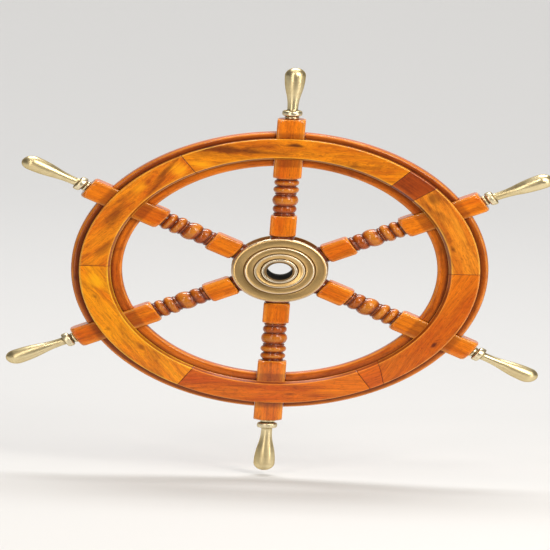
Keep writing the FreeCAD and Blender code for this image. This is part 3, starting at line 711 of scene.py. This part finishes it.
def spoke_stations():
    """Rows (along, half width, radius, recess, edge) from the hub to the handle end."""
    # the tenon, seen in the gap beyond the hub plate, is darkened in full: painted shade
    rows = [(TENON_STARTS, ROUND_ROW, TENON, 1.0, 0.0), (BLOCK_STARTS - 1.0, ROUND_ROW, TENON, 1.0, 0.0)]
    rows.append((BLOCK_STARTS, ROUND_ROW, TENON_ROOT, 1.0, 0.0))
    rows += block_end(BLOCK_STARTS, 1.0, INNER_BLOCK_HALF, *INNER_END_IN)
    rows += [(along, INNER_BLOCK_HALF, NO_LIMIT, 0.0, BLOCK_WEAR_AND_HIGHLIGHT) for along in INNER_BLOCK_ROWS]
    rows += block_end(INNER_BLOCK_ENDS, -1.0, INNER_BLOCK_HALF, *INNER_END_OUT)[::-1]
    for along, radius in turned_profile():
        held = 0.50 + 0.50 * min(max((11.7 - radius) / 1.3, 0.0), 1.0)
        rows.append((along, ROUND_ROW, radius, held, 0.0))
    rows += block_end(OUTER_BLOCK_STARTS, 1.0, OUTER_BLOCK_HALF, *OUTER_END)
    for along in OUTER_BLOCK_ROWS:
        # the block is darkened where it runs under the rim: painted shade
        held = 0.5 if 155.0 < along < 209.0 else 0.0
        rows.append((along, OUTER_BLOCK_HALF, NO_LIMIT, held, BLOCK_WEAR_AND_HIGHLIGHT))
    rows += block_end(OUTER_BLOCK_ENDS, -1.0, OUTER_BLOCK_HALF, *OUTER_END)[::-1]
    return rows


def make_spoke(number, material):
    angles = around_angles()
    rings = []
    recess = []
    edge = []
    for along, half, limit, held, wear_and_highlight in spoke_stations():
        ring = []
        is_round = half == ROUND_ROW
        widen = INNER_BLOCK_WIDEN if along < INNER_BLOCK_ENDS and not is_round else 1.0
        # the corners of the blocks and the whole turning are lightened: worn varnish and painted highlight
        worn_and_lit_all_round = wear_and_highlight if wear_and_highlight > 0.9 else 0.4 if is_round and limit > TENON else 0.0
        for turn in angles:
            radius = min(rounded_square(turn, half, BLOCK_CORNER), limit)
            side, front = radius * math.cos(turn), radius * math.sin(turn)
            ring.append(wheel_point(along, side * widen, front, SPOKE_ANGLES[number]))
            folded = abs(math.degrees(turn) % 90.0 - 45.0)
            near_corner = max(0.0, 1.0 - max(folded - 4.6, 0.0) / 2.6)
            recess.append(held)
            edge.append(max(wear_and_highlight * near_corner, worn_and_lit_all_round))
        rings.append(ring)
    verts, faces = loft(rings)
    make_object(f"spoke_{number}", verts, faces, "wheel", material, recess, edge, crease=34.0)


# ---------------------------------------------------------------- turned metal


def arc_run(start, end, steps):
    """Points along the arc that leaves its start level and reaches its end, without the start."""
    run = end[0] - start[0]
    rise = end[1] - start[1]
    radius = (run * run + rise * rise) / (2 * rise)
    full = math.asin(run / abs(radius))
    if abs(rise) > abs(radius):
        full = math.pi - full
    points = []
    for step in range(1, steps + 1):
        turn = full * step / steps
        points.append((start[0] + abs(radius) * math.sin(turn), start[1] + radius * (1 - math.cos(turn))))
    return points


HANDLE_SEGMENTS, FERRULE_SEGMENTS, PLATE_SEGMENTS, COLLAR_SEGMENTS = 72, 64, 192, 128
FERRULE_ENDS = OUTER_BLOCK_ENDS + 4.0
BEAD_FROM = FERRULE_ENDS + 0.8
BEAD_TO = BEAD_FROM + 7.6
BEAD_RADIUS = 10.0
BEAD_CURVE = 2.2
HANDLE_NECK = 5.4
STUD_HOLE = 3.05
STUD_HOLE_ENDS = 255.0
FLARE_AT, TURN_AT, BULB_AT, NOSE_AT, TIP_AT = 244.0, 266.0, 293.5, 301.45, 305.0
TURN_RADIUS, BULB_RADIUS, NOSE_RADIUS = 7.6, 10.5, 7.6


def handle_profile():
    """Handle as (along, radius): a groove, a bead, a thin neck and a long swell to the rounded tip."""
    points = [(STUD_HOLE_ENDS, 0.0), (STUD_HOLE_ENDS, STUD_HOLE), (FERRULE_ENDS + 0.02, STUD_HOLE)]
    points += [(FERRULE_ENDS + 0.02, 6.2), (BEAD_FROM, 6.2)]
    edge = BEAD_RADIUS - BEAD_CURVE
    for step in range(7):
        turn = math.pi / 2 * step / 6
        points.append((BEAD_FROM + BEAD_CURVE * (1 - math.cos(turn)), edge + BEAD_CURVE * math.sin(turn)))
    points.append(((BEAD_FROM + BEAD_TO) / 2, BEAD_RADIUS + 0.12))
    for step in range(7):
        turn = math.pi / 2 * step / 6
        points.append((BEAD_TO - BEAD_CURVE * (1 - math.sin(turn)), edge + BEAD_CURVE * math.cos(turn)))
    points += [(BEAD_TO + 0.02, 6.3), (BEAD_TO + 0.3, 5.8)]
    points += [(BEAD_TO + 1.2, HANDLE_NECK), (FLARE_AT, HANDLE_NECK)]
    points += arc_run((FLARE_AT, HANDLE_NECK), (TURN_AT, TURN_RADIUS), 12)
    run = BULB_AT - TURN_AT
    swell = arc_run((BULB_AT, BULB_RADIUS), (BULB_AT + run, TURN_RADIUS), 16)
    points += [(2 * BULB_AT - along, radius) for along, radius in reversed(swell[:-1])]
    points += [(BULB_AT, BULB_RADIUS)]
    points += arc_run((BULB_AT, BULB_RADIUS), (NOSE_AT, NOSE_RADIUS), 10)
    rise = TIP_AT - NOSE_AT
    tip_radius = (NOSE_RADIUS ** 2 + rise ** 2) / (2 * rise)
    reach = math.asin(NOSE_RADIUS / tip_radius)
    for step in range(1, 10):
        turn = reach * (1 - step / 10)
        points.append((TIP_AT - tip_radius * (1 - math.cos(turn)), tip_radius * math.sin(turn)))
    points.append((TIP_AT, 0.0))
    return points


def marks_of(profile, segments, shade):
    """One number for each vertex of a revolved profile."""
    marks = []
    for along, radius in profile:
        marks.extend([shade(along, radius)] * (1 if radius < ON_AXIS else segments))
    return marks


def make_turned(node, profile, segments, place, material, groove, crest, body="wheel", closed=True,
                crease=48.0):
    """Piece turned round the axis that place gives, with grooves darkened by painted shade and crests
    lightened by rubbed brass and painted highlight.
    """
    verts, faces = revolve(profile, segments, place, closed)
    recess, edge = marks_of(profile, segments, groove), marks_of(profile, segments, crest)
    make_object(node, verts, faces, body, material, recess, edge, crease)


def outward(angle):
    """Puts a profile's axis along a spoke."""
    return lambda along, side, front: wheel_point(along, side, front, angle)


def forward(along, side, up):
    """Puts a profile's axis along the axle."""
    return wheel_point(side, up, along)


def make_handle(number, material):
    def groove(along, radius):
        if along < BEAD_FROM + 0.2 or BEAD_TO - 0.1 < along < BEAD_TO + 0.6:
            return 0.75
        return 0.25 if BEAD_TO < along < BEAD_TO + 2.0 else 0.0

    def crest(along, radius):
        return 0.5 if radius > 9.6 and along < BEAD_TO + 0.6 else 0.0

    make_turned(f"handle_{number}", handle_profile(), HANDLE_SEGMENTS, outward(SPOKE_ANGLES[number]),
                material, groove, crest, closed=False, crease=50.0)


# Section of a ferrule as (distance from the spoke's end, radius).
FERRULE_SECTION = [(0.02, STUD_HOLE), (0.02, 6.3), (0.3, 6.7), (0.9, 7.2), (1.3, 7.3), (2.6, 7.3),
                   (3.0, 7.2), (3.7, 6.5), (3.98, 6.1), (3.98, STUD_HOLE)]


def make_ferrule(number, material):
    profile = [(OUTER_BLOCK_ENDS + along, radius) for along, radius in FERRULE_SECTION]
    make_turned(f"ferrule_{number}", profile, FERRULE_SEGMENTS, outward(SPOKE_ANGLES[number]), material,
                lambda along, radius: 0.8 if radius < 6.6 else 0.0,
                lambda along, radius: 0.4 if radius > 7.25 else 0.0, crease=50.0)


LIP_DROP, LIP_REACH = 3.2, 2.8


def plate_profile():
    """Front hub plate as (front, radius), from its hole round the face to its back.

    The flat bands are crowned a little, as turned and polished brass is, and each step stands in a
    narrow groove.
    """
    points = [(13.0, 18.6), (19.7, 18.6), (20.1, 18.75), (20.45, 19.1), (20.6, 19.5)]
    for step in range(1, 8):
        share = step / 8
        points.append((20.6 + 1.3 * share ** 1.3, 19.5 + 3.9 * share))
    points += rounded_step(22.0, 25.6, 1.2)
    points += [(19.5, 25.65), (19.3, 25.9), (19.25, 26.3), (19.3, 26.8)]
    points += crown(19.3, 19.75, 26.8, 32.6)
    points += rounded_step(19.5, 35.4, 2.2)
    points += [(16.2, 35.45), (16.0, 35.7), (15.95, 36.2), (16.0, 36.7)]
    points += crown(16.0, 16.5, 36.7, 45.6)
    for step in range(1, 11):
        turn = math.pi / 2 * step / 10
        points.append((16.2 - LIP_DROP * (1 - math.cos(turn)), 45.6 + LIP_REACH * math.sin(turn)))
    return points[:-1] + [(13.0, 48.4)]


def crown(low, high, start, end):
    """Points over a band that swells slightly between two radii."""
    points = []
    for step in range(1, 9):
        share = step / 8
        swell = math.sin(math.pi * (0.08 + 0.62 * share))
        points.append((low + (high - low) * swell, start + (end - start) * share))
    return points


def rounded_step(top, edge, radius):
    """Points over the rounded front edge of a step, from its face to its wall."""
    points = []
    for step in range(7):
        turn = math.pi / 2 * step / 6
        points.append((top - radius * (1 - math.cos(turn)), edge - radius + radius * math.sin(turn)))
    return points


def make_front_plate(material):
    # the step grooves and the hole's wall get painted shade, the step edges and the lip a painted highlight
    def groove(front, radius):
        if 25.55 < radius < 26.4 or 35.35 < radius < 36.3:
            return 1.0
        return 0.6 if radius < 19.3 else 0.0

    def crest(front, radius):
        return 0.9 if 24.4 < radius < 25.5 or 33.6 < radius < 35.2 or 46.8 < radius < 48.2 else 0.0

    make_turned("front_hub_plate", plate_profile(), PLATE_SEGMENTS, forward, material, groove, crest)


def make_collar(material):
    profile = [(14.5, 15.2), (14.5, 18.0), (14.7, 18.2), (20.6, 18.2)]
    profile += rounded_step(22.8, 18.2, 1.4)[::-1]
    profile += [(22.8, 16.2), (22.7, 15.6), (22.5, 15.25)]
    # the lower wall gets painted shade and the front a painted highlight
    make_turned("axle_collar", profile, COLLAR_SEGMENTS, forward, material,
                lambda front, radius: 0.9 if front < 21.0 else 0.0,
                lambda front, radius: 1.0 if front > 22.0 else 0.0, body="axle")


# ---------------------------------------------------------------- colours

FACE_WOODS = {
    "front_felloe_1": dict(light=srgb(244, 148, 10), middle=srgb(214, 108, 4), dark=srgb(86, 24, 6),
                           patches=[(88.0, 191.0, 12.0, 3.6, 0.85), (109.0, 191.0, 50.0, 10.0, 0.72),
                                    (97.0, 179.0, 26.0, 5.0, 0.45), (66.0, 176.0, 30.0, 5.0, 0.4)],
                           glows=[(119.0, 180.0, 16.0, 9.0, 0.7)], blotch=0.5),
    "front_felloe_2": dict(light=srgb(244, 152, 34), middle=srgb(218, 114, 16), dark=srgb(92, 32, 10),
                           patches=[(38.5, 188.0, 14.0, 7.5, 0.6), (14.0, 176.0, 8.0, 3.0, 0.6)],
                           glows=[(24.0, 190.0, 40.0, 6.0, 0.4)], blotch=0.45),
    "front_felloe_3": dict(light=srgb(232, 124, 10), middle=srgb(204, 92, 5), dark=srgb(96, 28, 4),
                           patches=[(-33.0, 190.0, 6.0, 3.0, 0.85)], blotch=0.35),
    "front_felloe_4": dict(light=srgb(234, 120, 8), middle=srgb(206, 84, 4), dark=srgb(90, 26, 4),
                           patches=[(-84.0, 187.0, 9.0, 3.0, 0.5), (-100.0, 178.0, 26.0, 3.5, 0.5)],
                           glows=[(-72.0, 190.0, 26.0, 6.0, 0.5)], blotch=0.45),
    "front_felloe_5": dict(light=srgb(255, 164, 8), middle=srgb(240, 128, 4), dark=srgb(120, 44, 4),
                           patches=[(-165.0, 188.0, 6.0, 3.2, 0.6), (-137.0, 180.0, 7.0, 3.2, 0.5),
                                    (-150.0, 192.0, 5.0, 2.6, 0.5)],
                           glows=[(-172.0, 184.0, 18.0, 12.0, 0.5)], blotch=0.4),
    "front_felloe_6": dict(light=srgb(248, 148, 14), middle=srgb(220, 104, 6), dark=srgb(92, 28, 8),
                           patches=[(157.0, 184.0, 34.0, 9.0, 0.55), (130.0, 189.0, 34.0, 4.0, 0.6),
                                    (138.0, 177.0, 30.0, 3.6, 0.6), (172.0, 178.0, 26.0, 9.0, 0.5)],
                           glows=[(126.0, 184.0, 14.0, 12.0, 0.8), (141.0, 188.0, 14.0, 8.0, 0.6)],
                           blotch=0.6, tilt=-9.0),
    "front_filler_1": dict(light=srgb(186, 84, 16), middle=srgb(154, 62, 10), dark=srgb(72, 20, 6)),
    "front_filler_2": dict(light=srgb(232, 112, 8), middle=srgb(204, 88, 5), dark=srgb(100, 30, 4)),
}
RIM_WOOD = dict(light=srgb(228, 120, 6), middle=srgb(192, 86, 2), dark=srgb(78, 22, 2), blotch=0.5)
SPOKE_WOOD = dict(light=srgb(242, 132, 4), middle=srgb(214, 98, 0), dark=srgb(92, 28, 2), blotch=0.35)
REAR_WOOD = dict(light=srgb(232, 124, 12), middle=srgb(200, 92, 6), dark=srgb(88, 28, 4))
NAVE_WOOD = dict(light=srgb(190, 88, 16), middle=srgb(158, 64, 10), dark=srgb(78, 24, 6))
PEG_WOOD = dict(light=srgb(196, 116, 50), middle=srgb(168, 88, 30), dark=srgb(92, 40, 14))

HUB_BRIGHT, HUB_DULL = srgb(224, 188, 128), srgb(168, 130, 74)
HANDLE_BRIGHT, HANDLE_DULL = srgb(240, 224, 180), srgb(206, 184, 130)
SCREW_BRIGHT, SCREW_DULL = srgb(216, 184, 112), srgb(150, 118, 60)
METAL_GRAZING_TINT = (0.50, 0.38, 0.22, 1.0)
# pale brass for rubbed crests and painted highlights
RUBBED_AND_LIT_BRASS = (0.96, 0.92, 0.78, 1.0)
# near black for painted shade inside the bore
BORE_SHADE = (0.010, 0.008, 0.006, 1.0)
BRONZE_BRIGHT, BRONZE_DULL = srgb(190, 160, 116), srgb(124, 92, 58)
STEEL_BRIGHT, STEEL_DULL = srgb(170, 172, 176), srgb(110, 112, 118)


# ---------------------------------------------------------------- pieces


def facing_middle(name):
    low, high = JOINTS[name]
    return (low + high) / 2


def facing_spoke(name):
    low, high = JOINTS[name]
    for angle in SPOKE_ANGLES.values():
        for turn in (-360.0, 0.0):
            if low < angle + turn < high:
                return angle + turn
    return None


def build_rim():
    for index, name in enumerate(FACE_WOODS):
        material = varnished_wood(name + "_wood", facing_middle(name), 3.1 + index * 1.7, **FACE_WOODS[name])
        make_facing(name, facing_spoke(name), material)
    for number, angle in SPOKE_ANGLES.items():
        material = varnished_wood(f"rim_wood_{number}", angle - 30.0, 20.3 + number * 1.3, around=True,
                                  **RIM_WOOD)
        make_middle_felloe(number, material)


def build_spokes():
    for number, angle in SPOKE_ANGLES.items():
        material = varnished_wood(f"spoke_wood_{number}", angle, 40.9 + number * 2.3, along_spoke=True,
                                  figure=0.6, **SPOKE_WOOD)
        make_spoke(number, material)


def build_metal():
    for number, angle in SPOKE_ANGLES.items():
        material = turned_metal(f"handle_brass_{number}", HANDLE_BRIGHT, HANDLE_DULL, angle, 0.30,
                                relief=0.008, lined=0.12)
        make_handle(number, material)
        make_ferrule(number, material)
    make_front_plate(turned_metal("hub_plate_brass", HUB_BRIGHT, HUB_DULL, roughness=0.27, brushed=0.7,
                                  relief=0.14))
    make_collar(turned_metal("collar_brass", HUB_BRIGHT, HUB_DULL, roughness=0.24, brushed=0.3))


def dress(node, material):
    """Gives a CAD node its own material."""
    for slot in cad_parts[node].material_slots:
        slot.material = material


def dress_cad_nodes():
    bronze = turned_metal("bronze", BRONZE_BRIGHT, BRONZE_DULL, roughness=0.30, bore=0.0132)
    brass = turned_metal("rear_brass", HUB_BRIGHT, HUB_DULL, roughness=0.32, brushed=0.5)
    screws = turned_metal("screw_brass", SCREW_BRIGHT, SCREW_DULL, roughness=0.34)
    steel = turned_metal("steel", STEEL_BRIGHT, STEEL_DULL, roughness=0.36)
    pegs = varnished_wood("peg_wood", 30.0, 71.0, **PEG_WOOD)
    finishes = {"axle_sleeve": bronze, "front_thrust_washer": bronze, "rear_thrust_washer": bronze,
                "nave_bush": bronze, "rear_hub_plate": brass, "hub_screws": screws, "rim_screws": screws,
                "sleeve_set_screws": steel, "handle_studs": steel, "tenon_pins": pegs, "felloe_dowels": pegs,
                "nave": varnished_wood("nave_wood", 0.0, 63.0, **NAVE_WOOD)}
    for node, material in finishes.items():
        dress(node, material)
    for number, angle in SPOKE_ANGLES.items():
        wood = varnished_wood(f"rear_wood_{number}", angle, 80.0 + number * 1.9, **REAR_WOOD)
        dress(f"rear_felloe_{number}", wood)


# ---------------------------------------------------------------- studio


FLOOR_HEIGHT = -0.312
FLOOR_FRONT, BEND_AT, BEND_RADIUS, WALL_TOP, HALF_WIDTH = -1.1, 2.4, 1.2, 4.5, 4.5
BEND_STEPS = 24
PAPER_COLOUR = (0.45, 0.45, 0.45, 1.0)
PAPER_GLOW = (1.0, 0.99, 0.97, 1.0)
PAPER_GLOW_STRENGTH = 0.24
DIM_WORLD = (1.0, 0.94, 0.86, 1.0)
DIM_WORLD_STRENGTH = 0.13
PALE_WORLD = (0.88, 0.86, 0.83, 1.0)
WARM = (1.0, 0.93, 0.83)
WHITE = (1.0, 1.0, 1.0)
# Each light: place, width and height, watts, colour.
LIGHTS = {
    "key": ((0.9, -1.3, 1.1), (0.6, 1.0), 22.0, WARM),
    "right": ((1.5, -0.9, 0.3), (0.4, 2.0), 11.0, WARM),
    "left": ((-0.85, -1.6, 0.0), (0.45, 2.0), 9.5, WARM),
    "top": ((-0.2, -0.5, 1.9), (2.0, 0.5), 7.0, WARM),
    "spark": ((-0.7, -1.4, 1.3), (0.18, 0.18), 4.0, WARM),
    "wall": ((0.0, 1.6, 3.2), (3.0, 1.0), 135.0, WHITE),
}


def build_backdrop():
    """Pale floor that sweeps up into a wall well behind the wheel."""
    path = [(FLOOR_FRONT, FLOOR_HEIGHT), (BEND_AT, FLOOR_HEIGHT)]
    for step in range(1, BEND_STEPS + 1):
        turn = math.pi / 2 * step / BEND_STEPS
        rise = BEND_RADIUS * (1 - math.cos(turn))
        path.append((BEND_AT + BEND_RADIUS * math.sin(turn), FLOOR_HEIGHT + rise))
    path.append((BEND_AT + BEND_RADIUS, WALL_TOP))
    verts = [(side, depth, height) for depth, height in path for side in (-HALF_WIDTH, HALF_WIDTH)]
    faces = [(2 * row, 2 * row + 1, 2 * row + 3, 2 * row + 2) for row in range(len(path) - 1)]
    mesh = bpy.data.meshes.new("backdrop")
    mesh.from_pydata(verts, [], faces)
    mesh.polygons.foreach_set("use_smooth", [True] * len(mesh.polygons))
    backdrop = bpy.data.objects.new("backdrop", mesh)
    bpy.context.scene.collection.objects.link(backdrop)
    s = Shader("backdrop_paper")
    s.surface.inputs["Base Color"].default_value = PAPER_COLOUR
    s.surface.inputs["Roughness"].default_value = 0.9
    s.surface.inputs["Emission Color"].default_value = PAPER_GLOW
    s.surface.inputs["Emission Strength"].default_value = PAPER_GLOW_STRENGTH
    mesh.materials.append(s.material)


def add_light(name, place, size, power, colour):
    """Soft rectangular light that faces the hub."""
    light = bpy.data.lights.new(name, "AREA")
    light.shape = "RECTANGLE"
    light.size, light.size_y = size
    light.energy = power
    light.color = colour
    lamp = bpy.data.objects.new(name, light)
    lamp.location = place
    lamp.rotation_euler = (-Vector(place)).to_track_quat("-Z", "Y").to_euler()
    bpy.context.scene.collection.objects.link(lamp)


def build_world():
    """Dim warm surroundings, with a pale backdrop where the camera looks past the paper."""
    world = bpy.data.worlds.new("studio")
    world.use_nodes = True
    nodes, links = world.node_tree.nodes, world.node_tree.links
    dim = nodes["Background"]
    dim.inputs["Color"].default_value = DIM_WORLD
    dim.inputs["Strength"].default_value = DIM_WORLD_STRENGTH
    pale = nodes.new("ShaderNodeBackground")
    pale.inputs["Color"].default_value = PALE_WORLD
    both = nodes.new("ShaderNodeMixShader")
    links.new(nodes.new("ShaderNodeLightPath").outputs["Is Camera Ray"], both.inputs["Fac"])
    links.new(dim.outputs["Background"], both.inputs[1])
    links.new(pale.outputs["Background"], both.inputs[2])
    links.new(both.outputs["Shader"], nodes["World Output"].inputs["Surface"])
    bpy.context.scene.world = world


# The picture shows the round wheel squeezed to two thirds of its height. The camera is a long
# lens (parallel rays) whose across axis is slanted so that widths count half as much again.
SQUASH = 1.5
CAMERA_RAISED = math.radians(9.6)
CAMERA_ROLL = math.radians(3.1)
CAMERA_SPAN = 0.822
CAMERA_DISTANCE = 2.5
CAMERA_ASIDE, CAMERA_ABOVE = -0.0086, -0.011


def build_camera():
    back = Vector((0.0, -math.cos(CAMERA_RAISED), math.sin(CAMERA_RAISED)))
    across = Vector((1.0, 0.0, 0.0))
    up = back.cross(across)
    rolled_across = across * math.cos(CAMERA_ROLL) + up * math.sin(CAMERA_ROLL)
    rolled_up = up * math.cos(CAMERA_ROLL) - across * math.sin(CAMERA_ROLL)
    slant = math.sqrt(1.0 - 1.0 / SQUASH ** 2)
    columns = (rolled_across / SQUASH + back * slant, rolled_up, back)
    holder = bpy.data.objects.new("camera_holder", None)
    bpy.context.scene.collection.objects.link(holder)
    lens = bpy.data.cameras.new("camera")
    lens.type = "ORTHO"
    lens.ortho_scale = CAMERA_SPAN
    lens.clip_start, lens.clip_end = 0.05, 20.0
    camera = bpy.data.objects.new("camera", lens)
    camera.parent = holder
    camera.matrix_parent_inverse = Matrix(columns).transposed().to_4x4()
    camera.location = (CAMERA_ASIDE * CAMERA_SPAN, CAMERA_ABOVE * CAMERA_SPAN, CAMERA_DISTANCE)
    bpy.context.scene.collection.objects.link(camera)
    bpy.context.scene.camera = camera


build_rim()
build_spokes()
build_metal()
dress_cad_nodes()
build_backdrop()
build_world()
for light_name, settings in LIGHTS.items():
    add_light(light_name, *settings)
build_camera()
bpy.context.scene.view_settings.view_transform = "Standard"

bpy.context.view_layer.update()
